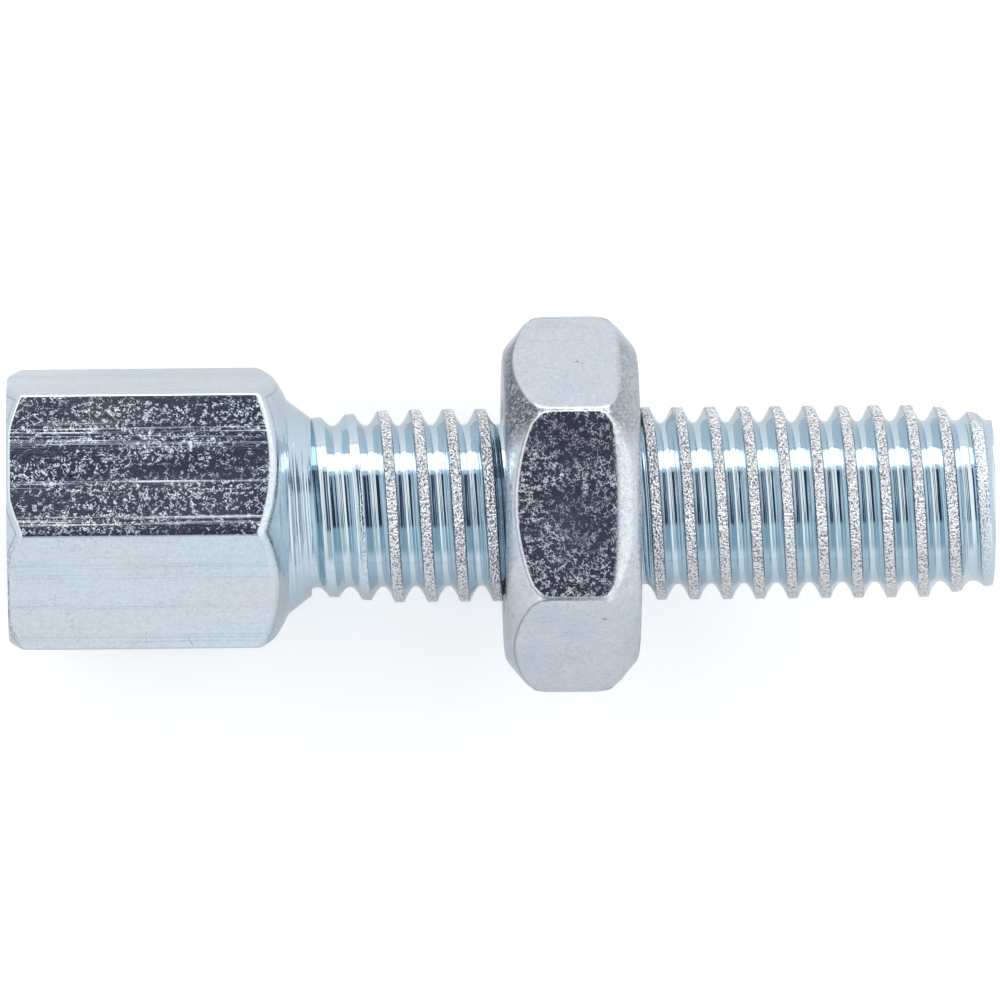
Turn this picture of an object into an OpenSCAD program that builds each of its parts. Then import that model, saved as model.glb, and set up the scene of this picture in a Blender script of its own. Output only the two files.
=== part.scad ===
// Cable adjuster screw with its lock nut, lying on one flat of the nut.
// The screw's axis is X. The origin is on that axis, in the mouth of the socket for the cable casing.

/* [Head] */
// Width of the hex head across its flats
head_flats = 7.9; // [7:0.1:11]
// Length of the hex along its corners, from the socket end to the dome
head_length = 7.75; // [6:0.25:12]
// Turn of the head about the axis, from one flat facing up
head_turn = 20; // [0:1:59]
// Length of the bevel along the corners at the socket end
head_bevel = 0.43; // [0.2:0.01:0.8]
// Radius of the dome that ends the hex
dome_radius = 7.4; // [6.6:0.1:12]
// Length of the conical neck
neck_length = 0.7; // [0.3:0.05:1.5]
// Height of the neck above the crests where it meets the dome
collar_rise = 0.31; // [0.2:0.01:0.45]
// Depth of the neck below the crests where it meets the thread
neck_step = 0.215; // [0.15:0.005:0.3]

/* [Thread] */
// Length of the whole screw
screw_length = 30; // [24:0.5:45]
// Diameter over the thread's crests
thread_diameter = 5.88; // [5.6:0.02:6]
// Distance from crest to crest
thread_pitch = 1; // [0.75:0.05:1.25]
// Depth from crest to root
thread_depth = 0.48; // [0.3:0.02:0.6]
// Width of the flat on a crest
crest_width = 0.26; // [0.1:0.02:0.34]
// Width of the flat in a root
root_width = 0.2; // [0.1:0.02:0.3]
// Length over which the crests rise from the neck to full height
run_out_length = 2.5; // [1:0.1:5]
// Length of the taper at the tip
lead_length = 2; // [0.5:0.1:4]
// Depth of the last crest below the full crests
tip_step = 0.34; // [0.1:0.02:0.4]
// Place of the first crest on the screw's +Y side, past the neck
first_crest = 0.18; // [0:0.02:1]

/* [Cable way] */
// Diameter of the socket that takes the cable casing
socket_diameter = 5.5; // [4:0.1:6]
// Depth of the socket's straight wall
socket_depth = 6.5; // [3:0.25:7]
// Included angle of the socket's drilled bottom
drill_angle = 118; // [90:1:140]
// Diameter of the bore for the inner cable
cable_diameter = 2.5; // [1.6:0.1:3.2]
// Width of the bevel round each mouth
mouth_bevel = 0.3; // [0.1:0.05:0.5]

/* [Nut] */
// Width of the nut across its flats
nut_flats = 10; // [9.6:0.1:14]
// Thickness of the nut
nut_height = 4.1; // [3:0.1:6]
// Distance from the socket end of the screw to the nut
nut_place = 15.1; // [11:0.1:18]
// Length of the nut's bevels along its corners
nut_bevel = 0.86; // [0.5:0.02:1]
// Radius that rounds each bevel into the end face
face_round = 0.6; // [0.1:0.05:0.8]
// Radius that rounds each bevel into the corners
corner_round = 0.8; // [0.1:0.05:1]
// Depth of the countersink at each mouth of the nut
nut_countersink = 0.35; // [0.1:0.05:0.6]
// Gap all round between the thread's crests and the nut
nut_clearance = 0.06; // [0.05:0.01:0.15]

/* [Edges] */
// Angle of the bevels on head and nut, from the end face
bevel_angle = 40; // [25:1:50]
// Depth to which the hex corners are worn round
corner_trim = 0.05; // [0.02:0.01:0.15]

/* [Hidden] */
$fn = 96;
round_steps = 6;
thread_segments = 32;
overlap = 0.5;

head_corner = head_flats / sqrt(3);
head_rim = head_corner - corner_trim;
head_face = head_rim - head_bevel / tan(bevel_angle);
dome_centre = head_length - sqrt(pow(dome_radius, 2) - pow(head_rim, 2));
crest_radius = thread_diameter / 2;
collar_radius = crest_radius + collar_rise;
head_end = dome_centre + sqrt(pow(dome_radius, 2) - pow(collar_radius, 2));
neck_end = head_end + neck_length;
neck_radius = crest_radius - neck_step;
neck_taper = (collar_radius - neck_radius) / neck_length;
dome_first = asin(head_rim / dome_radius);
dome_last = asin((collar_radius - overlap) / dome_radius);

tip_radius = crest_radius - tip_step;
root_radius = crest_radius - thread_depth;
run_out_gap = 0.025;
run_out_radius = neck_radius - run_out_gap;
flank_width = (thread_pitch - crest_width - root_width) / 2;
crest_to_root = crest_width + flank_width;
buried_turns = 2;
spare_turns = 2;
thread_start = neck_end + first_crest - buried_turns * thread_pitch;
thread_turns = ceil((screw_length - thread_start) / thread_pitch) + spare_turns;
thread_rings = thread_turns * thread_segments;

drill_depth = (socket_diameter - cable_diameter) / 2 / tan(drill_angle / 2);
nut_rim = nut_flats / sqrt(3) - corner_trim;
nut_face = nut_rim - nut_bevel / tan(bevel_angle);
nut_bore = crest_radius + nut_clearance;

function unit(v) = v / norm(v);

// Points of the arc that rounds corner b, between a and c
function rounded(a, b, c, radius) =
    let (
        to_a = unit(a - b),
        to_c = unit(c - b),
        half = acos(to_a * to_c) / 2,
        centre = b + unit(to_a + to_c) * radius / sin(half),
        first = b + to_a * radius / tan(half) - centre,
        last = b + to_c * radius / tan(half) - centre,
        sweep = 180 - 2 * half
    )
    [for (i = [0:round_steps])
        let (part = i / round_steps)
        centre + (sin((1 - part) * sweep) * first + sin(part * sweep) * last) / sin(sweep)];

// Height of a crest at a place along the axis: it rises from the neck and falls to the tip
function crest_at(x) =
    let (
        rise = (crest_radius - run_out_radius) / run_out_length,
        fall = tip_step / lead_length,
        from_neck = run_out_radius + (x - neck_end) * rise,
        to_tip = tip_radius + (screw_length - x) * fall
    )
    max(root_radius, min(crest_radius, from_neck, to_tip));

// Point of the thread on one ring: sides 0 and 1 bound the crest, sides 2 and 3 the root
function thread_point(ring, side) =
    let (
        angle = 360 * ring / thread_segments,
        along = [0, crest_width, crest_to_root, crest_to_root + root_width][side] - crest_width / 2,
        x = thread_start + thread_pitch * ring / thread_segments + along,
        radius = side < 2 ? crest_at(x) : root_radius
    )
    [x, radius * cos(angle), radius * sin(angle)];

// Lays a shape that stands on Z along the X axis
module along_x() {
    rotate([0, 90, 0])
        children();
}

module hex_bar(corner, height, turn) {
    along_x()
        rotate([0, 0, 30 - turn])
            cylinder(r = corner, h = height, $fn = 6);
}

// Solid of revolution about X from points of radius and place along the axis
module turned(points) {
    along_x()
        rotate_extrude()
            polygon(points);
}

module head() {
    dome = [for (i = [0:round_steps])
        let (angle = dome_first + (dome_last - dome_first) * i / round_steps)
        [dome_radius * sin(angle), dome_centre + dome_radius * cos(angle)]];
    dome_end = dome[round_steps].y;
    intersection() {
        hex_bar(head_corner, dome_end, head_turn);
        turned(concat(
            [[0, 0], [head_face, 0], [head_rim, head_bevel]],
            dome,
            [[0, dome_end]]
        ));
    }
}

module neck() {
    turned([
        [0, head_end - overlap],
        [collar_radius + overlap * neck_taper, head_end - overlap],
        [neck_radius, neck_end],
        [0, neck_end]
    ]);
}

// Right-hand thread with its core, one closed skin that winds round the axis
module thread() {
    last = thread_rings - thread_segments;
    points = [for (ring = [0:thread_rings], side = [0:3]) thread_point(ring, side)];
    ends = [[thread_start, 0, 0], [thread_start + thread_turns * thread_pitch, 0, 0]];
    first_end = len(points);
    last_end = first_end + 1;
    strips = [for (ring = [0:thread_rings - 1], side = [0:2])
        let (p = 4 * ring + side)
        each [[p, p + 5, p + 4], [p, p + 1, p + 5]]];
    joins = [for (ring = [0:last - 1])
        let (p = 4 * ring + 3, q = 4 * (ring + thread_segments))
        each [[p, q + 4, p + 4], [p, q, q + 4]]];
    first_cap = concat(
        [for (ring = [0:thread_segments - 1]) [first_end, 4 * ring, 4 * ring + 4]],
        [for (side = [0:2]) [first_end, side + 1, side]],
        [[first_end, 4 * thread_segments, 3]]
    );
    last_cap = concat(
        [for (ring = [last:thread_rings - 1]) [last_end, 4 * ring + 7, 4 * ring + 3]],
        [for (side = [0:2]) [last_end, 4 * thread_rings + side, 4 * thread_rings + side + 1]],
        [[last_end, 4 * last + 3, 4 * thread_rings]]
    );
    polyhedron(concat(points, ends), concat(strips, joins, first_cap, last_cap));
}

// Thread cut off square at the tip
module shank() {
    intersection() {
        thread();
        along_x()
            cylinder(r = collar_radius, h = screw_length);
    }
}

module cable_way() {
    mouth = socket_diameter / 2 + mouth_bevel;
    bore = cable_diameter / 2;
    turned([
        [0, -overlap],
        [mouth + overlap, -overlap],
        [socket_diameter / 2, mouth_bevel],
        [socket_diameter / 2, socket_depth],
        [bore, socket_depth + drill_depth],
        [bore, screw_length - mouth_bevel],
        [bore + mouth_bevel + overlap, screw_length + overlap],
        [0, screw_length + overlap]
    ]);
}

module adjuster_screw() {
    color("lightsteelblue")
        difference() {
            union() {
                head();
                neck();
                shank();
            }
            cable_way();
        }
}

module lock_nut() {
    face = [nut_face, 0];
    rim = [nut_rim, nut_bevel];
    side = concat(
        [[0, 0]],
        rounded([0, 0], face, rim, face_round),
        rounded(face, rim, [nut_rim, nut_height / 2], corner_round)
    );
    other_side = [for (i = [len(side) - 1:-1:0]) [side[i].x, nut_height - side[i].y]];
    mouth = nut_bore + nut_countersink;
    color("silver")
        translate([nut_place, 0, 0])
            difference() {
                intersection() {
                    hex_bar(nut_flats / sqrt(3), nut_height, 0);
                    turned(concat(side, other_side));
                }
                turned([
                    [0, -overlap],
                    [mouth + overlap, -overlap],
                    [nut_bore, nut_countersink],
                    [nut_bore, nut_height - nut_countersink],
                    [mouth + overlap, nut_height + overlap],
                    [0, nut_height + overlap]
                ]);
            }
}

adjuster_screw();
lock_nut();
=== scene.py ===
import math

import bmesh
import bpy
from mathutils import Matrix, Vector


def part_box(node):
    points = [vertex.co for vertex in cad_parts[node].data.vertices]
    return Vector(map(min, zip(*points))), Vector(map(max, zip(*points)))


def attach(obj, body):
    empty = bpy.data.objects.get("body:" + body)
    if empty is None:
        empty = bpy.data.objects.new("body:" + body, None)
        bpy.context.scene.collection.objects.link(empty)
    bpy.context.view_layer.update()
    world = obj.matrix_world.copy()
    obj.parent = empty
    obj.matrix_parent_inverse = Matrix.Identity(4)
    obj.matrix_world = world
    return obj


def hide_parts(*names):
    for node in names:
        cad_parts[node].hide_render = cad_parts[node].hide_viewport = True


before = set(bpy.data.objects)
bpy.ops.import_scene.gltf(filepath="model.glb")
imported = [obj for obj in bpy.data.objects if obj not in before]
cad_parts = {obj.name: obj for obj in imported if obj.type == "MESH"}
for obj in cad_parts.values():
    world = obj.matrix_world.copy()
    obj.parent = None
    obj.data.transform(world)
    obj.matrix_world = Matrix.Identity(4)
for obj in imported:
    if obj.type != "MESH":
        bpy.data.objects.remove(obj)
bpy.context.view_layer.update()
print("frame loaded:", sorted(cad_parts))

mm = 0.001
fullTurn = 2 * math.pi

# Every ring has 24 points to a side of the hex: 7 round the corner, 2 beside it and 15 along the flat
ringSettings = {
    "arcSteps": 6,
    "flatSteps": 15,
    "besideCorner": 0.05,  # millimetres
    "edgeSteps": 4,  # round a soft edge
    "smoothAngle": 32,  # degrees, past which an edge shows sharp
}
sides = 6 * (ringSettings["arcSteps"] + ringSettings["flatSteps"] + 3)


def feed(tree, socket, value):
    if isinstance(value, bpy.types.NodeSocket):
        tree.links.new(value, socket)
    else:
        socket.default_value = value


def addNode(tree, kind, options, values):
    node = tree.nodes.new(kind)
    for name, value in options.items():
        setattr(node, name, value)
    for name, value in values.items():
        feed(tree, node.inputs[name], value)
    return node


def calc(tree, operation, *terms):
    node = tree.nodes.new("ShaderNodeMath")
    node.operation = operation
    for socket, term in zip(node.inputs, terms):
        feed(tree, socket, term)
    return node.outputs[0]


def remap(tree, value, low, high, toLow=0.0, toHigh=1.0, shape="LINEAR"):
    values = {"Value": value, "From Min": low, "From Max": high, "To Min": toLow, "To Max": toHigh}
    return addNode(tree, "ShaderNodeMapRange", {"interpolation_type": shape}, values).outputs[0]


def mixColours(tree, factor, first, second):
    node = addNode(tree, "ShaderNodeMix", {"data_type": "RGBA"}, {"Factor": factor})
    feed(tree, node.inputs[6], first)
    feed(tree, node.inputs[7], second)
    return node.outputs[2]


# Points round a hexagon with rounded corners: angle from +Y towards +Z, the even angle, and the radius
def hexOutline(flat, fillet, rim, firstCorner):
    arcSteps = ringSettings["arcSteps"]
    flatSteps = ringSettings["flatSteps"]
    reach = (flat - fillet) / math.cos(math.radians(30))
    arcs = []
    for corner in range(6):
        heading = math.radians(firstCorner + 60 * corner)
        centre = Vector((math.cos(heading), math.sin(heading))) * reach
        turns = [heading + math.radians(60 * step / arcSteps - 30) for step in range(arcSteps + 1)]
        arcs.append([centre + Vector((math.cos(turn), math.sin(turn))) * fillet for turn in turns])
    points = []
    for corner in range(6):
        start = arcs[corner][-1]
        end = arcs[(corner + 1) % 6][0]
        beside = ringSettings["besideCorner"] / (end - start).length
        shares = [(step + 1) / (flatSteps + 1) for step in range(flatSteps)]
        points += arcs[corner] + [start.lerp(end, share) for share in [beside, *shares, 1 - beside]]
    outline = []
    for index, point in enumerate(points):
        even = evenStart(firstCorner) + fullTurn * index / sides
        off = (math.atan2(point.y, point.x) - even + math.pi) % fullTurn - math.pi
        outline.append((even + off, even, min(point.length, rim)))
    return outline


# Angle of the first point on an even ring, which puts a point on each corner
def evenStart(firstCorner):
    return math.radians(firstCorner) - fullTurn * ringSettings["arcSteps"] / 2 / sides


# Points of a soft edge between two lines that meet in a corner, as (radius, place, evenness)
def softEdge(before, corner, after):
    steps = ringSettings["edgeSteps"]
    a = Vector(before)
    b = Vector(corner)
    c = Vector(after)
    points = []
    for step in range(steps + 1):
        share = step / steps
        point = a.lerp(b, share).lerp(b.lerp(c, share), share)
        points.append((point.x, point.y, 0))
    return points


# Rings of a shape whose section, at each point of the outline, is a list of (radius, place, evenness)
# An evenness of 0 keeps a point at the hexagon's angle, and 1 turns it to the even angle
def sweep(outline, section):
    sections = [section(outer) for angle, even, outer in outline]
    rings = []
    for step in range(len(sections[0])):
        ring = []
        for (angle, even, outer), points in zip(outline, sections):
            radius, place, evenness = points[step]
            turn = angle + (even - angle) * evenness
            ring.append(Vector((place, radius * math.cos(turn), radius * math.sin(turn))) * mm)
        rings.append(ring)
    return rings


# Thread skin: a grid whose columns wind round the axis, from one plain ring to another
def threadTree():
    tree = bpy.data.node_groups.new("threadSkin", "GeometryNodeTree")
    inputs = {
        "Sides": "NodeSocketInt",
        "Steps": "NodeSocketInt",
        "Finish": "NodeSocketMaterial",
    }
    numbers = ["Start", "End", "Pitch", "Crest place", "First angle", "Crest radius", "Root radius"]
    numbers += ["Crest width", "Root width", "Rise radius", "Rise length", "Fall radius", "Fall length"]
    numbers += ["First radius", "Last radius", "Groove bend", "Weld"]
    for name in numbers:
        inputs[name] = "NodeSocketFloat"
    for name, kind in inputs.items():
        tree.interface.new_socket(name, in_out="INPUT", socket_type=kind)
    tree.interface.new_socket("Geometry", in_out="OUTPUT", socket_type="NodeSocketGeometry")
    given = tree.nodes.new("NodeGroupInput").outputs
    start = given["Start"]
    end = given["End"]
    pitch = given["Pitch"]
    crest = given["Crest radius"]
    root = given["Root radius"]

    turns = calc(tree, "DIVIDE", calc(tree, "SUBTRACT", end, start), pitch)
    longRun = calc(tree, "MULTIPLY", calc(tree, "ADD", turns, 1), given["Steps"])
    columns = calc(tree, "ADD", calc(tree, "CEIL", longRun), 3)
    grid = addNode(tree, "GeometryNodeMeshGrid", {}, {
        "Size X": 1.0,
        "Size Y": 1.0,
        "Vertices X": columns,
        "Vertices Y": calc(tree, "ADD", given["Sides"], 1),
    })
    position = tree.nodes.new("GeometryNodeInputPosition").outputs[0]
    flat = addNode(tree, "ShaderNodeSeparateXYZ", {}, {"Vector": position})
    lastColumn = calc(tree, "SUBTRACT", columns, 1)
    lengthways = calc(tree, "ADD", flat.outputs[0], 0.5)
    column = calc(tree, "ROUND", calc(tree, "MULTIPLY", lengthways, lastColumn))
    share = calc(tree, "ADD", flat.outputs[1], 0.5)
    angle = calc(tree, "MULTIPLY_ADD", share, fullTurn, given["First angle"])

    wound = calc(tree, "DIVIDE", calc(tree, "SUBTRACT", column, 1), given["Steps"])
    turn = calc(tree, "SUBTRACT", calc(tree, "ADD", wound, share), 1)
    along = calc(tree, "MULTIPLY_ADD", turn, pitch, start)
    place = calc(tree, "MINIMUM", calc(tree, "MAXIMUM", along, start), end)

    fromCrest = calc(tree, "DIVIDE", calc(tree, "SUBTRACT", place, given["Crest place"]), pitch)
    phase = calc(tree, "SUBTRACT", fromCrest, calc(tree, "DIVIDE", angle, fullTurn))
    offCrest = calc(tree, "MULTIPLY", calc(tree, "PINGPONG", phase, 0.5), pitch)
    crestEdge = calc(tree, "MULTIPLY", given["Crest width"], 0.5)
    rootEdge = calc(tree, "MULTIPLY", calc(tree, "SUBTRACT", pitch, given["Root width"]), 0.5)
    fromRoot = calc(tree, "SUBTRACT", 1, remap(tree, offCrest, crestEdge, rootEdge))
    depth = calc(tree, "SUBTRACT", 1, calc(tree, "POWER", fromRoot, given["Groove bend"]))

    riseHeight = calc(tree, "SUBTRACT", crest, given["Rise radius"])
    rise = calc(tree, "DIVIDE", riseHeight, given["Rise length"])
    risen = calc(tree, "MULTIPLY_ADD", calc(tree, "SUBTRACT", place, start), rise, given["Rise radius"])
    fallHeight = calc(tree, "SUBTRACT", crest, given["Fall radius"])
    fall = calc(tree, "DIVIDE", fallHeight, given["Fall length"])
    fallen = calc(tree, "MULTIPLY_ADD", calc(tree, "SUBTRACT", end, place), fall, given["Fall radius"])
    capped = calc(tree, "MINIMUM", crest, calc(tree, "MINIMUM", risen, fallen))
    crestHere = calc(tree, "MAXIMUM", root, capped)
    skin = calc(tree, "MULTIPLY_ADD", calc(tree, "SUBTRACT", root, crestHere), depth, crestHere)
    isFirst = calc(tree, "COMPARE", column, 0, 0.5)
    isLast = calc(tree, "COMPARE", column, lastColumn, 0.5)
    toFirst = calc(tree, "SUBTRACT", given["First radius"], skin)
    joined = calc(tree, "MULTIPLY_ADD", toFirst, isFirst, skin)
    toLast = calc(tree, "SUBTRACT", given["Last radius"], joined)
    radius = calc(tree, "MULTIPLY_ADD", toLast, isLast, joined)

    point = addNode(tree, "ShaderNodeCombineXYZ", {}, {
        "X": place,
        "Y": calc(tree, "MULTIPLY", radius, calc(tree, "COSINE", angle)),
        "Z": calc(tree, "MULTIPLY", radius, calc(tree, "SINE", angle)),
    })
    moved = addNode(tree, "GeometryNodeSetPosition", {}, {
        "Geometry": grid.outputs["Mesh"],
        "Position": point.outputs[0],
    })
    welded = addNode(tree, "GeometryNodeMergeByDistance", {}, {
        "Geometry": moved.outputs[0],
        "Distance": given["Weld"],
    })
    real = addNode(tree, "GeometryNodeRealizeInstances", {}, {"Geometry": welded.outputs[0]})
    painted = addNode(tree, "GeometryNodeSetMaterial", {}, {
        "Geometry": real.outputs[0],
        "Material": given["Finish"],
    })
    result = tree.nodes.new("NodeGroupOutput")
    tree.links.new(painted.outputs[0], result.inputs["Geometry"])
    return tree


threadGroup = threadTree()
print("thread tree built")


# One closed piece from the thread tree's skin and the rings that run from its last ring to its first
def makePiece(name, threadValues, rings, material):
    piece = bpy.data.objects.new(name, bpy.data.meshes.new(name))
    bpy.context.scene.collection.objects.link(piece)
    modifier = piece.modifiers.new("thread", "NODES")
    modifier.node_group = threadGroup
    values = {"Sides": sides, "Finish": material, **threadValues}
    for item in threadGroup.interface.items_tree:
        if item.in_out == "INPUT":
            modifier[item.identifier] = values[item.name]
    graph = bpy.context.evaluated_depsgraph_get()
    skin = bpy.data.meshes.new_from_object(piece.evaluated_get(graph))
    piece.modifiers.remove(modifier)

    bm = bmesh.new()
    bm.from_mesh(skin)
    rows = [[bm.verts.new(point) for point in ring] for ring in rings]
    for near, far in zip(rows, rows[1:]):
        for index in range(sides):
            after = (index + 1) % sides
            bm.faces.new((near[index], near[after], far[after], far[index]))
    bmesh.ops.remove_doubles(bm, verts=bm.verts, dist=values["Weld"])
    bmesh.ops.recalc_face_normals(bm, faces=bm.faces)
    for face in bm.faces:
        face.smooth = True
        face.material_index = 0
    openEdges = sum(1 for edge in bm.edges if not edge.is_manifold)
    bm.to_mesh(skin)
    triangles = sum(len(face.verts) - 2 for face in bm.faces)
    bm.free()
    skin.materials.clear()
    skin.materials.append(material)
    skin.set_sharp_from_angle(angle=math.radians(ringSettings["smoothAngle"]))
    piece.data = skin
    print(name, "made:", triangles, "triangles,", openEdges, "open edges")
    return piece


# Where in the noise each kind of mark is taken, so that no two kinds match
markPlaces = {
    "someScuffs": (0, 0, 0),
    "moreScuffs": (0.05, 0, 0),
    "scratches": (0.1, 0, 0),
}


# Plated metal: a bright mirror broken up by scuffs, scratches, draw lines along the axis and clouds
def zincMaterial(name, look):
    material = bpy.data.materials.new(name)
    material.use_nodes = True
    tree = material.node_tree
    shader = tree.nodes["Principled BSDF"]
    coords = tree.nodes.new("ShaderNodeTexCoord").outputs["Object"]
    parts = addNode(tree, "ShaderNodeSeparateXYZ", {}, {"Vector": coords}).outputs

    def noise(scale, place=(0, 0, 0), stretch=(1, 1, 1), detail=2.0, twist=0.0):
        placed = addNode(tree, "ShaderNodeMapping", {}, {
            "Vector": coords,
            "Location": place,
            "Scale": stretch,
        })
        texture = addNode(tree, "ShaderNodeTexNoise", {}, {
            "Vector": placed.outputs[0],
            "Scale": scale,
            "Detail": detail,
            "Distortion": twist,
        })
        return texture.outputs["Fac"]

    # Short marks: thin level lines of one noise, broken by another
    def marks(place, scale, width, breakScale, breakRange, detail=2.0):
        level = noise(scale, place, detail=detail)
        offLevel = calc(tree, "ABSOLUTE", calc(tree, "SUBTRACT", level, 0.5))
        thin = remap(tree, offLevel, width, 0.0)
        broken = remap(tree, noise(breakScale, place), *breakRange)
        return calc(tree, "MULTIPLY", thin, broken)

    # How far a point reaches towards the nearest flat of the hex
    def hexReach(firstFlat):
        reaches = []
        for degrees in (firstFlat, firstFlat + 60, firstFlat + 120):
            facing = (0, math.cos(math.radians(degrees)), math.sin(math.radians(degrees)))
            towards = addNode(tree, "ShaderNodeVectorMath", {"operation": "DOT_PRODUCT"}, {})
            feed(tree, towards.inputs[0], coords)
            feed(tree, towards.inputs[1], facing)
            reaches.append(calc(tree, "ABSOLUTE", towards.outputs["Value"]))
        return calc(tree, "MAXIMUM", calc(tree, "MAXIMUM", reaches[0], reaches[1]), reaches[2])

    # Degrees round the axis from +Y towards +Z
    heading = calc(tree, "DEGREES", calc(tree, "ARCTAN2", parts[2], parts[1]))

    cloud = noise(look["cloudScale"], stretch=look["cloudStretch"], detail=4.0)
    clouds = remap(tree, cloud, *look["cloudRange"])
    line = noise(look["lineScale"], stretch=look["lineStretch"], detail=3.0)
    lines = remap(tree, line, *look["lineRange"])
    bundle = noise(look["bundleScale"], stretch=look["bundleStretch"])
    bundles = remap(tree, bundle, *look["bundleRange"])
    if "bands" in look:
        # Degrees from the middle of the nearest flat
        fromFlat = calc(tree, "SUBTRACT", heading, look["bevel"]["firstFlat"] - 30)
        across = calc(tree, "SUBTRACT", calc(tree, "FLOORED_MODULO", fromFlat, 60.0), 30.0)
        breaks = remap(tree, noise(look["breakScale"]), *look["breakRange"])
        for place, halfWidth in look["bands"]:
            offBand = calc(tree, "ABSOLUTE", calc(tree, "SUBTRACT", across, place))
            band = calc(tree, "MULTIPLY", remap(tree, offBand, halfWidth, halfWidth / 2), breaks)
            bundles = calc(tree, "MAXIMUM", bundles, band)
    drawn = calc(tree, "MULTIPLY", lines, bundles)
    someScuffs = marks(markPlaces["someScuffs"], *look["scuffs"])
    moreScuffs = marks(markPlaces["moreScuffs"], *look["scuffs"])
    bothScuffs = calc(tree, "MAXIMUM", someScuffs, moreScuffs)
    patches = noise(look["patchScale"], stretch=look["patchStretch"])
    scuffs = calc(tree, "MULTIPLY", bothScuffs, remap(tree, patches, *look["patchRange"]))
    scratches = marks(markPlaces["scratches"], *look["scratches"], detail=0.0)
    dents = noise(look["dentScale"], twist=1.0)
    plain = mixColours(tree, clouds, look["colour"], look["cloudColour"])
    grain = remap(tree, dents, *look["grainRange"], 0.0, look["grain"])
    streaked = calc(tree, "MULTIPLY_ADD", drawn, look["lineDark"], grain)
    marked = calc(tree, "MULTIPLY_ADD", scuffs, look["scuffDark"], streaked)
    worn = mixColours(tree, marked, plain, look["scratchColour"])
    colour = mixColours(tree, scratches, worn, look["scratchColour"])
    cloudy = calc(tree, "MULTIPLY_ADD", clouds, look["cloudRough"], look["rough"])
    scuffed = calc(tree, "MULTIPLY_ADD", scuffs, look["scuffRough"], cloudy)
    roughness = calc(tree, "MULTIPLY_ADD", drawn, look["lineRough"], scuffed)

    # Heights are in millimetres
    scuffHeight = calc(tree, "MULTIPLY", scuffs, look["scuffHeight"])
    lineHeight = calc(tree, "MULTIPLY_ADD", drawn, look["lineHeight"], scuffHeight)
    height = calc(tree, "MULTIPLY_ADD", dents, look["dentHeight"], lineHeight)

    # Bevels have dark specks on one side round the axis: the specks follow the rough turned surface,
    # and their darkness is painted dark reflection. Bevels also have a dark line where they meet the
    # flats
    bevel = look["bevel"]
    reach = hexReach(bevel["firstFlat"])
    towardsHead = remap(tree, parts[0], *bevel["until"])
    onBevel = calc(tree, "MULTIPLY", remap(tree, reach, *bevel["from"]), towardsHead)
    # Painted dark reflection: the bevel's specks are darkened only near one heading round the axis
    offDarkSide = calc(tree, "ABSOLUTE", calc(tree, "SUBTRACT", heading, bevel["darkReflectionHeading"]))
    darkSide = remap(tree, offDarkSide, *bevel["darkReflectionReach"])
    specks = remap(tree, dents, *bevel["speckRange"])
    paintedDarkReflection = calc(tree, "MULTIPLY", calc(tree, "MULTIPLY", onBevel, darkSide), specks)
    colour = mixColours(tree, paintedDarkReflection, colour, bevel["darkReflectionColour"])
    offEdge = calc(tree, "ABSOLUTE", calc(tree, "SUBTRACT", reach, bevel["line"]))
    lined = remap(tree, offEdge, bevel["lineWidth"], 0.0, 0.0, bevel["lineDark"])
    onEdge = calc(tree, "MULTIPLY", lined, remap(tree, parts[0], *bevel["lineUntil"]))
    colour = mixColours(tree, onEdge, colour, look["scratchColour"])

    if "shank" in look:
        shank = look["shank"]
        around = addNode(tree, "ShaderNodeCombineXYZ", {}, {"Y": parts[1], "Z": parts[2]}).outputs[0]
        offAxis = addNode(tree, "ShaderNodeVectorMath", {"operation": "LENGTH"}, {"Vector": around})
        radius = offAxis.outputs["Value"]
        outside = remap(tree, radius, *shank["outside"])
        onShank = calc(tree, "MULTIPLY", remap(tree, parts[0], *shank["from"]), outside)
        fall = remap(tree, parts[0], *shank["tipFrom"], 0.0, shank["tipStep"])
        crestHere = calc(tree, "SUBTRACT", shank["crest"], fall)
        belowCrest = calc(tree, "SUBTRACT", crestHere, radius)
        pastNeck = remap(tree, parts[0], *shank["crestsFrom"])
        beforeTip = remap(tree, parts[0], *shank["crestsTo"])
        high = remap(tree, belowCrest, *shank["crestFrom"])
        onCrest = calc(tree, "MULTIPLY", calc(tree, "MULTIPLY", pastNeck, beforeTip), high)

        # Fine lines that the rolling left along the grooves, the same in every turn
        angle = calc(tree, "DIVIDE", heading, 360.0)
        fromCrest = calc(tree, "SUBTRACT", parts[0], shank["crestPlace"])
        turns = calc(tree, "DIVIDE", fromCrest, shank["pitch"])
        phase = calc(tree, "FRACT", calc(tree, "SUBTRACT", turns, angle))
        wander = calc(tree, "MULTIPLY_ADD", noise(shank["wanderScale"]), shank["wander"], phase)
        rolled = addNode(tree, "ShaderNodeTexNoise", {"noise_dimensions": "1D"}, {
            "W": wander,
            "Scale": shank["rolledScale"],
            "Detail": 1.0,
        }).outputs["Fac"]
        speckle = noise(shank["grainScale"], detail=1.0)
        pits = remap(tree, speckle, *shank["pitRange"])
        crestColour = mixColours(tree, pits, shank["crestColour"], shank["pitColour"])
        grooved = mixColours(tree, onCrest, shank["grooveColour"], crestColour)
        colour = mixColours(tree, onShank, colour, grooved)
        crestRough = calc(tree, "MULTIPLY_ADD", onCrest, shank["crestRough"], shank["grooveRough"])
        shankRough = calc(tree, "MULTIPLY", onShank, calc(tree, "SUBTRACT", crestRough, roughness))
        roughness = calc(tree, "ADD", roughness, shankRough)
        grainOnCrest = calc(tree, "MULTIPLY", speckle, onCrest)
        crestGrain = calc(tree, "MULTIPLY", grainOnCrest, shank["grainHeight"])
        inGroove = calc(tree, "MULTIPLY", rolled, calc(tree, "SUBTRACT", 1.0, onCrest))
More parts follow.
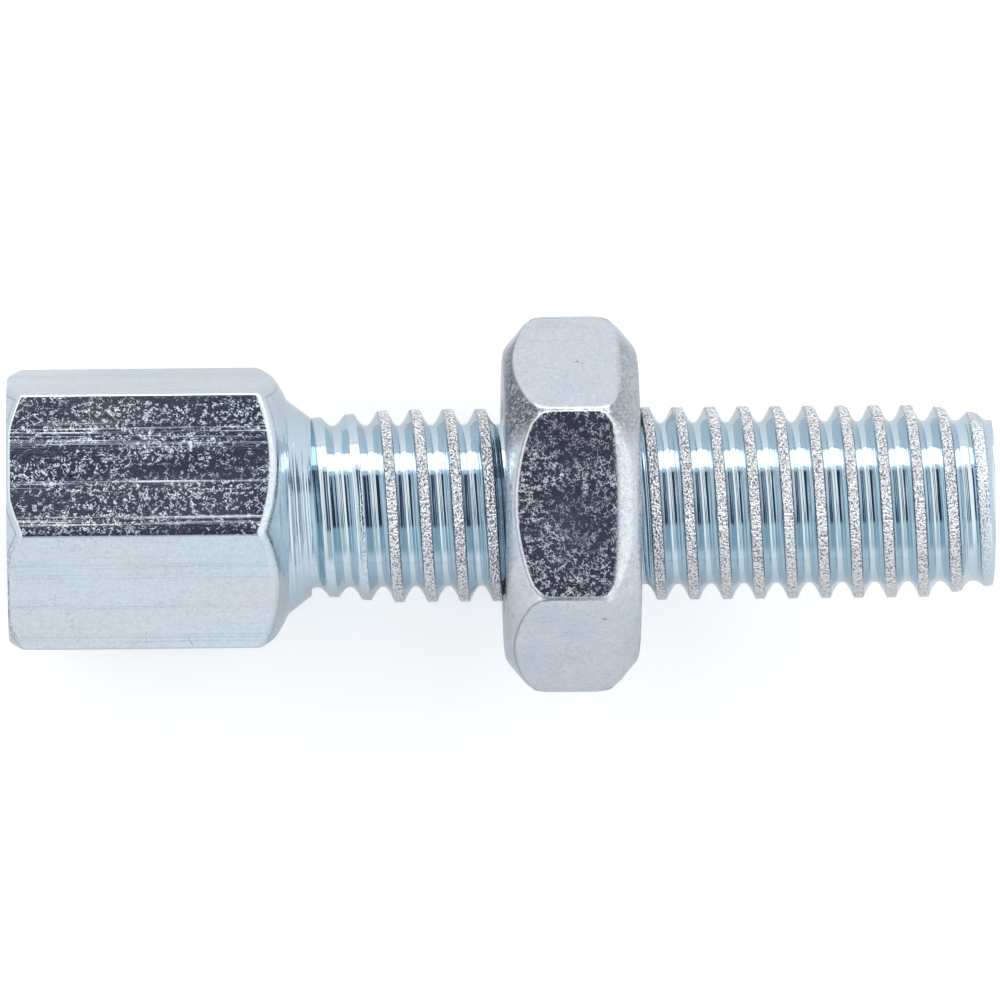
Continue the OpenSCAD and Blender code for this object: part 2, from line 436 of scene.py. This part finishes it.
        shankHeight = calc(tree, "MULTIPLY_ADD", inGroove, shank["rolledHeight"], crestGrain)
        change = calc(tree, "SUBTRACT", shankHeight, height)
        height = calc(tree, "MULTIPLY_ADD", change, onShank, height)

    tree.links.new(colour, shader.inputs["Base Color"])
    tree.links.new(roughness, shader.inputs["Roughness"])
    bump = addNode(tree, "ShaderNodeBump", {}, {"Height": height, "Strength": 1.0, "Distance": mm})
    tree.links.new(bump.outputs[0], shader.inputs["Normal"])
    shader.inputs["Metallic"].default_value = 1.0
    return material


# Screw: lengths in millimetres along the axis from the socket end, radii from the axis
screwSettings = {
    "length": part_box("adjuster_screw")[1][0] / mm,
    "headFlat": 3.95,
    "headFillet": 0.16,
    "headRim": 4.53,
    "headCorner": 40,
    "faceRadius": 3.999,
    "bevelSlope": math.tan(math.radians(40)),
    "edgeWear": 0.09,
    "bevelEdge": 0.05,
    "domeEdge": 0.2,
    "domeCentre": 1.884,
    "domeRadius": 7.4,
    "domeShares": (0.12, 0.3, 0.5, 0.7, 0.86, 0.96, 1.0),
    "collarRadius": 3.25,
    "neckRadius": 2.725,
    "neckEnd": 9.232,
    "neckShares": (0.06, 0.35, 0.65, 0.94, 1.0),
    "socketRadius": 2.75,
    "socketDepth": 6.5,
    "drillEnd": 7.401,
    "boreRadius": 1.25,
    "mouthBevel": 0.3,
}
screwThread = {
    "Steps": 22,
    "Start": screwSettings["neckEnd"] * mm,
    "End": screwSettings["length"] * mm,
    "Pitch": 1.0 * mm,
    "Crest place": 9.412 * mm,
    "First angle": evenStart(screwSettings["headCorner"]),
    "Crest radius": 2.94 * mm,
    "Root radius": 2.46 * mm,
    "Crest width": 0.28 * mm,
    "Root width": 0.1 * mm,
    "Groove bend": 1.5,
    "Rise radius": 2.70 * mm,
    "Rise length": 2.5 * mm,
    "Fall radius": 2.60 * mm,
    "Fall length": 2.0 * mm,
    "First radius": screwSettings["neckRadius"] * mm,
    "Last radius": (screwSettings["boreRadius"] + screwSettings["mouthBevel"]) * mm,
    "Weld": 0.002 * mm,
}


def domePlace(radius):
    return screwSettings["domeCentre"] + math.sqrt(screwSettings["domeRadius"] ** 2 - radius ** 2)


# Section of the screw from the tip's mouth through the bore and round the head to the neck
def screwSection(outer):
    s = screwSettings
    mouth = s["socketRadius"] + s["mouthBevel"]
    tipMouth = s["boreRadius"] + s["mouthBevel"]
    points = [
        (tipMouth, s["length"], 1),
        (s["boreRadius"], s["length"] - s["mouthBevel"], 1),
        (s["boreRadius"], (s["length"] + s["drillEnd"]) / 2, 1),
        (s["boreRadius"], s["drillEnd"], 1),
        (s["socketRadius"], s["socketDepth"], 1),
        (s["socketRadius"], s["mouthBevel"], 1),
        (mouth, 0, 1),
    ]
    edge = s["bevelEdge"]
    faceEdge = min(s["faceRadius"], outer - s["edgeWear"])
    bevelEnd = max((outer - s["faceRadius"]) * s["bevelSlope"], s["edgeWear"] * s["bevelSlope"])
    bevel = Vector((outer - faceEdge, bevelEnd)).normalized() * edge
    points.append((faceEdge - 3 * edge, 0, 0))
    points += softEdge((faceEdge - edge, 0), (faceEdge, 0), (faceEdge + bevel.x, bevel.y))
    beforeEnd = (outer - bevel.x, bevelEnd - bevel.y)
    points += softEdge(beforeEnd, (outer, bevelEnd), (outer, bevelEnd + edge))
    soft = s["domeEdge"]
    domeStart = domePlace(outer)
    domeRim = outer - soft
    points.append((outer, bevelEnd + 3 * edge, 0))
    points.append((outer, domeStart / 2, 0))
    points.append((outer, domeStart - 2 * soft, 0))
    points += softEdge((outer, domeStart - soft), (outer, domeStart), (domeRim, domePlace(domeRim)))
    for share in s["domeShares"]:
        radius = domeRim + (s["collarRadius"] - domeRim) * share
        points.append((radius, domePlace(radius), share))
    collarPlace = domePlace(s["collarRadius"])
    for share in s["neckShares"]:
        radius = s["collarRadius"] + (s["neckRadius"] - s["collarRadius"]) * share
        points.append((radius, collarPlace + (s["neckEnd"] - collarPlace) * share, 1))
    return points


# Finishes: scales in waves to a metre, places in metres, heights in millimetres, angles in degrees
screwLook = {
    "colour": (0.63, 0.72, 0.79, 1),
    "cloudColour": (0.66, 0.70, 0.74, 1),
    "scratchColour": (0.20, 0.22, 0.26, 1),
    "cloudScale": 700.0,
    "cloudStretch": (0.3, 1, 1),
    "cloudRange": (0.40, 0.70),
    "scuffs": (10500.0, 0.030, 6500.0, (0.52, 0.65)),  # scale, width, scale and range of the breaks
    "patchScale": 1300.0,
    "patchStretch": (0.3, 1, 1),
    "patchRange": (0.38, 0.62, 0.2, 1.0),
    "scratches": (500.0, 0.003, 1300.0, (0.58, 0.64)),  # scale, width, scale and range of the breaks
    "lineScale": 12000.0,
    "lineStretch": (0.012, 1, 1),
    "lineRange": (0.48, 0.72),
    "bundleScale": 900.0,
    "bundleStretch": (0.06, 1, 1),
    "bundleRange": (0.54, 0.70),
    "bands": ((-12.5, 7.5), (8.5, 1.6), (25.0, 2.5)),  # degrees from the middle of a flat, half width
    "breakScale": 420.0,
    "breakRange": (0.34, 0.52, 0.5, 1.0),
    "lineDark": 0.08,
    "grain": 0.13,
    "grainRange": (0.60, 0.35),
    "dentScale": 9500.0,
    "rough": 0.11,
    "cloudRough": 0.07,
    "scuffRough": 0.25,
    "lineRough": 0.20,
    "scuffDark": 0.12,
    "scuffHeight": 0.004,
    "lineHeight": 0.004,
    "dentHeight": 0.002,
    "bevel": {
        "firstFlat": 10,
        "until": (0.0060, 0.0050),
        "from": (0.00394, 0.00391),
        # The bevel's painted dark reflection: the heading it centres on, its reach in degrees, and its
        # colour
        "darkReflectionHeading": 140.0,
        "darkReflectionReach": (40.0, 20.0),
        "darkReflectionColour": (0.20, 0.22, 0.26, 1),
        "speckRange": (0.56, 0.40),
        "line": 0.00376,
        "lineWidth": 0.00004,
        "lineDark": 0.6,
        "lineUntil": (0.0086, 0.0084),
    },
    "shank": {
        "from": (0.0080, 0.0086),
        "outside": (0.0020, 0.0023),
        "crest": screwThread["Crest radius"],
        "crestPlace": screwThread["Crest place"],
        "pitch": screwThread["Pitch"],
        "tipFrom": (screwThread["End"] - screwThread["Fall length"], screwThread["End"]),
        "tipStep": screwThread["Crest radius"] - screwThread["Fall radius"],
        "crestFrom": (0.00010, 0.00004),
        "crestsFrom": (0.0098, 0.0102),
        "crestsTo": (0.0300, 0.0291),
        "wanderScale": 500.0,
        "wander": 0.05,
        "rolledScale": 8.0,
        "rolledHeight": 0.04,
        "grainScale": 14000.0,
        "grainHeight": 0.16,
        "pitRange": (0.46, 0.36),
        "crestColour": (0.82, 0.83, 0.85, 1),
        "pitColour": (0.30, 0.32, 0.35, 1),
        "grooveColour": (0.57, 0.68, 0.75, 1),
        "grooveRough": 0.07,
        "crestRough": 0.10,
    },
}
screwZinc = zincMaterial("screwZinc", screwLook)
screwOutline = hexOutline(
    screwSettings["headFlat"],
    screwSettings["headFillet"],
    screwSettings["headRim"],
    screwSettings["headCorner"],
)
screw = makePiece("zincScrew", screwThread, sweep(screwOutline, screwSection), screwZinc)
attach(screw, "screw")
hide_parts("adjuster_screw")

# Nut: its place along the axis, and its own lengths from its face on the head's side, in millimetres
nutLow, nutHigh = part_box("lock_nut")
nutSettings = {
    "place": nutLow[0] / mm,
    "height": (nutHigh[0] - nutLow[0]) / mm,
    "flat": nutHigh[2] / mm,
    "fillet": 0.16,
    "corner": 0,
    "rimRadius": 5.723,
    "bevelLength": 0.86,
    "bevelAngle": math.radians(40),
    "faceRound": 0.6,
    "cornerRound": 0.8,
    "cornerEdge": 0.06,
    "leftEdge": 0.09,
    "rightEdge": 0.52,
    "besideEdge": 0.12,
    "faceStart": 4.3,
    "faceShares": (0.0, 0.1, 0.2, 0.32, 0.46, 0.62, 0.8),
    "boreRadius": 3.0,
    "countersink": 0.35,
    "firstGroove": 0.5,
}
nutThread = {
    "Steps": 16,
    "Start": (nutSettings["place"] + nutSettings["countersink"]) * mm,
    "End": (nutSettings["place"] + nutSettings["height"] - nutSettings["countersink"]) * mm,
    "Pitch": 1.0 * mm,
    "Crest place": (nutSettings["place"] + nutSettings["firstGroove"]) * mm,
    "First angle": evenStart(nutSettings["corner"]),
    "Crest radius": 3.2 * mm,
    "Root radius": nutSettings["boreRadius"] * mm,
    "Crest width": 0.2 * mm,
    "Root width": 0.3 * mm,
    "Groove bend": 1.0,
    "Rise radius": nutSettings["boreRadius"] * mm,
    "Rise length": 0.6 * mm,
    "Fall radius": nutSettings["boreRadius"] * mm,
    "Fall length": 0.6 * mm,
    "First radius": nutSettings["boreRadius"] * mm,
    "Last radius": nutSettings["boreRadius"] * mm,
    "Weld": 0.002 * mm,
}


# How far the bevelled side of the nut lies from its end face at a radius
def nutDrop(radius):
    s = nutSettings
    slope = math.tan(s["bevelAngle"])
    faceRadius = s["rimRadius"] - s["bevelLength"] / slope
    faceCentre = faceRadius - s["faceRound"] * math.tan(s["bevelAngle"] / 2)
    tangent = s["cornerRound"] * math.tan((math.pi / 2 - s["bevelAngle"]) / 2)
    if radius <= faceCentre:
        return 0.0
    if radius <= faceCentre + s["faceRound"] * math.sin(s["bevelAngle"]):
        return s["faceRound"] - math.sqrt(s["faceRound"] ** 2 - (radius - faceCentre) ** 2)
    if radius <= s["rimRadius"] - tangent * math.cos(s["bevelAngle"]):
        return (radius - faceRadius) * slope
    off = radius - s["rimRadius"] + s["cornerRound"]
    return s["bevelLength"] + tangent - math.sqrt(max(s["cornerRound"] ** 2 - off ** 2, 0.0))


# Half of the nut's section, from its bore over the end face and the bevel to the flat
def nutHalf(outer, widest):
    s = nutSettings
    inward = (s["rimRadius"] - outer) / (s["rimRadius"] - s["flat"])
    edge = s["cornerEdge"] + (widest - s["cornerEdge"]) * inward
    points = [
        (s["boreRadius"], s["countersink"], 1),
        (s["boreRadius"] + s["countersink"], 0, 1),
    ]
    for share in s["faceShares"]:
        radius = s["faceStart"] + (outer - edge - s["faceStart"]) * share
        points.append((radius, nutDrop(radius), 0))
    drop = nutDrop(outer)
    points += softEdge((outer - edge, nutDrop(outer - edge)), (outer, drop), (outer, drop + edge))
    points.append((outer, drop + edge + s["besideEdge"], 0))
    return points


# Section of the nut, from the bore's right mouth round the outside to its left mouth
def nutSection(outer):
    s = nutSettings
    right = nutHalf(outer, s["rightEdge"])
    left = nutHalf(outer, s["leftEdge"])
    points = [(radius, s["place"] + s["height"] - place, evenness) for radius, place, evenness in right]
    points += [(radius, s["place"] + place, evenness) for radius, place, evenness in reversed(left)]
    return points


nutLook = {
    "colour": (0.68, 0.71, 0.75, 1),
    "cloudColour": (0.62, 0.68, 0.76, 1),
    "scratchColour": (0.22, 0.24, 0.27, 1),
    "cloudScale": 700.0,
    "cloudStretch": (1, 1, 1),
    "cloudRange": (0.40, 0.70),
    "scuffs": (10500.0, 0.031, 6500.0, (0.49, 0.62)),  # scale, width, scale and range of the breaks
    "patchScale": 900.0,
    "patchStretch": (0.7, 1, 1),
    "patchRange": (0.36, 0.58, 0.35, 1.0),
    "scratches": (600.0, 0.003, 1500.0, (0.58, 0.64)),  # scale, width, scale and range of the breaks
    "lineScale": 10000.0,
    "lineStretch": (0.012, 1, 1),
    "lineRange": (0.52, 0.72),
    "bundleScale": 900.0,
    "bundleStretch": (0.06, 1, 1),
    "bundleRange": (0.50, 0.64),
    "lineDark": 0.25,
    "grain": 0.18,
    "grainRange": (0.60, 0.35),
    "dentScale": 9500.0,
    "rough": 0.12,
    "cloudRough": 0.06,
    "scuffRough": 0.25,
    "lineRough": 0.10,
    "scuffDark": 0.25,
    "scuffHeight": 0.0045,
    "lineHeight": 0.002,
    "dentHeight": 0.003,
    "bevel": {
        "firstFlat": 30,
        "until": (0.0202, 0.0172),
        "from": (0.00499, 0.00496),
        # The bevel's painted dark reflection: the heading it centres on, its reach in degrees, and its
        # colour
        "darkReflectionHeading": 40.0,
        "darkReflectionReach": (32.0, 22.0),
        "darkReflectionColour": (0.10, 0.11, 0.13, 1),
        "speckRange": (0.78, 0.46),
        "line": 0.004965,
        "lineWidth": 0.00003,
        "lineDark": 0.8,
        "lineUntil": (0.0180, 0.0170),
    },
}
nutZinc = zincMaterial("nutZinc", nutLook)
nutOutline = hexOutline(
    nutSettings["flat"],
    nutSettings["fillet"],
    nutSettings["rimRadius"],
    nutSettings["corner"],
)
nut = makePiece("zincNut", nutThread, sweep(nutOutline, nutSection), nutZinc)
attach(nut, "nut")
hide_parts("lock_nut")

# Floor: it leans to meet the nut's lower flat and the head's lowest corner
floorSettings = {
    "size": 3.0,
    "touches": (15.5, -5.0),
    "lean": 2.1,
    "colour": (0.85, 0.86, 0.87, 1),
    "rough": 0.9,
    "shine": 0.1,
    "glow": 0.34,
    "mirrorGlow": 0.01,
}


def makeFloor():
    s = floorSettings
    half = s["size"] / 2
    mesh = bpy.data.meshes.new("floor")
    corners = [(-half, -half, 0), (half, -half, 0), (half, half, 0), (-half, half, 0)]
    mesh.from_pydata(corners, [], [(0, 1, 2, 3)])
    floor = bpy.data.objects.new("floor", mesh)
    bpy.context.scene.collection.objects.link(floor)
    place, height = s["touches"]
    floor.location = (place * mm, 0, height * mm)
    floor.rotation_euler = (0, math.radians(s["lean"]), 0)
    material = bpy.data.materials.new("paleFloor")
    material.use_nodes = True
    tree = material.node_tree
    shader = tree.nodes["Principled BSDF"]
    rays = tree.nodes.new("ShaderNodeLightPath").outputs
    mirrored = calc(tree, "MAXIMUM", rays["Is Glossy Ray"], rays["Is Transmission Ray"])
    mirrorGlow = calc(tree, "MULTIPLY", mirrored, s["mirrorGlow"])
    glow = calc(tree, "MULTIPLY_ADD", rays["Is Camera Ray"], s["glow"], mirrorGlow)
    tree.links.new(glow, shader.inputs["Emission Strength"])
    shader.inputs["Emission Color"].default_value = (1, 1, 1, 1)
    shader.inputs["Base Color"].default_value = s["colour"]
    shader.inputs["Roughness"].default_value = s["rough"]
    shader.inputs["Specular IOR Level"].default_value = s["shine"]
    mesh.materials.append(material)


makeFloor()

# Studio: a dark opening overhead, white walls behind and at both ends, a blue-grey one in front,
# a pale band low down all round, and a wide lamp behind
studioSettings = {
    "opening": (0.045, 0.048, 0.085, 1),
    "openingWidth": (0.24, 0.17),
    "openingFront": (-0.56, -0.46),
    "openingBack": (0.75, 0.71),
    "behind": (1.1, 1.1, 1.1, 1),
    "inFront": (0.54, 0.65, 0.71, 1),
    "low": (1.0, 1.0, 1.02, 1),
    "lowFrom": (0.45, 0.15),
    "behindFrom": (-0.25, 0.2),
    "ends": (1.3, 1.3, 1.3, 1),
    "endsFrom": (0.25, 0.45),
    "seen": (1.0, 1.0, 1.0, 1),
    "keyPower": 1.3,
    "keySize": (0.7, 0.25),
    "keyPlace": (0.0, 0.45, 0.17),
}


def makeStudio():
    s = studioSettings
    world = bpy.data.worlds.new("studio")
    world.use_nodes = True
    bpy.context.scene.world = world
    tree = world.node_tree
    heading = tree.nodes.new("ShaderNodeTexCoord").outputs["Generated"]
    parts = addNode(tree, "ShaderNodeSeparateXYZ", {}, {"Vector": heading})
    sideways = calc(tree, "ABSOLUTE", parts.outputs[0])
    toBack = remap(tree, parts.outputs[1], *s["behindFrom"], shape="SMOOTHSTEP")
    toEnds = remap(tree, sideways, *s["endsFrom"], shape="SMOOTHSTEP")
    low = remap(tree, parts.outputs[2], *s["lowFrom"], shape="SMOOTHSTEP")
    walls = mixColours(tree, toBack, s["inFront"], s["behind"])
    lit = mixColours(tree, low, mixColours(tree, toEnds, walls, s["ends"]), s["low"])
    across = remap(tree, sideways, *s["openingWidth"], shape="SMOOTHSTEP")
    fromFront = remap(tree, parts.outputs[1], *s["openingFront"], shape="SMOOTHSTEP")
    fromBack = remap(tree, parts.outputs[1], *s["openingBack"], shape="SMOOTHSTEP")
    upward = calc(tree, "GREATER_THAN", parts.outputs[2], 0)
    deep = calc(tree, "MULTIPLY", calc(tree, "MULTIPLY", fromFront, fromBack), upward)
    room = mixColours(tree, calc(tree, "MULTIPLY", across, deep), lit, s["opening"])
    rays = tree.nodes.new("ShaderNodeLightPath").outputs
    shown = mixColours(tree, rays["Is Camera Ray"], room, s["seen"])
    tree.links.new(shown, tree.nodes["Background"].inputs["Color"])

    lamp = bpy.data.lights.new("key", "AREA")
    lamp.energy = s["keyPower"]
    lamp.shape = "RECTANGLE"
    lamp.size, lamp.size_y = s["keySize"]
    key = bpy.data.objects.new("key", lamp)
    bpy.context.scene.collection.objects.link(key)
    key.location = s["keyPlace"]
    key.rotation_euler = (-Vector(s["keyPlace"])).to_track_quat("-Z", "Y").to_euler()
    key.visible_camera = False


makeStudio()
print("floor and studio made")

# Camera: from straight above and a little to the left, rolled a little
cameraSettings = {
    "target": (15.0, 0.15, 0.0),
    "distance": 450.0,
    "width": 30.49,
    "sensor": 36,
    "clip": (0.01, 10),
    "lean": 1.2,
    "roll": 0.55,
}


def makeCamera():
    s = cameraSettings
    lean = math.radians(s["lean"])
    roll = math.radians(s["roll"])
    back = Vector((-math.sin(lean), 0, math.cos(lean)))
    level = Vector((math.cos(lean), 0, math.sin(lean)))
    upward = Vector((0, 1, 0))
    right = level * math.cos(roll) - upward * math.sin(roll)
    up = level * math.sin(roll) + upward * math.cos(roll)
    lens = bpy.data.cameras.new("camera")
    lens.sensor_width = s["sensor"]
    lens.lens = lens.sensor_width * s["distance"] / s["width"]
    lens.clip_start, lens.clip_end = s["clip"]
    camera = bpy.data.objects.new("camera", lens)
    bpy.context.scene.collection.objects.link(camera)
    place = Vector(s["target"]) * mm + back * s["distance"] * mm
    turned = Matrix((right, up, back)).transposed().to_4x4()
    camera.matrix_world = Matrix.Translation(place) @ turned
    bpy.context.scene.camera = camera


makeCamera()
bpy.context.scene.view_settings.view_transform = "Standard"
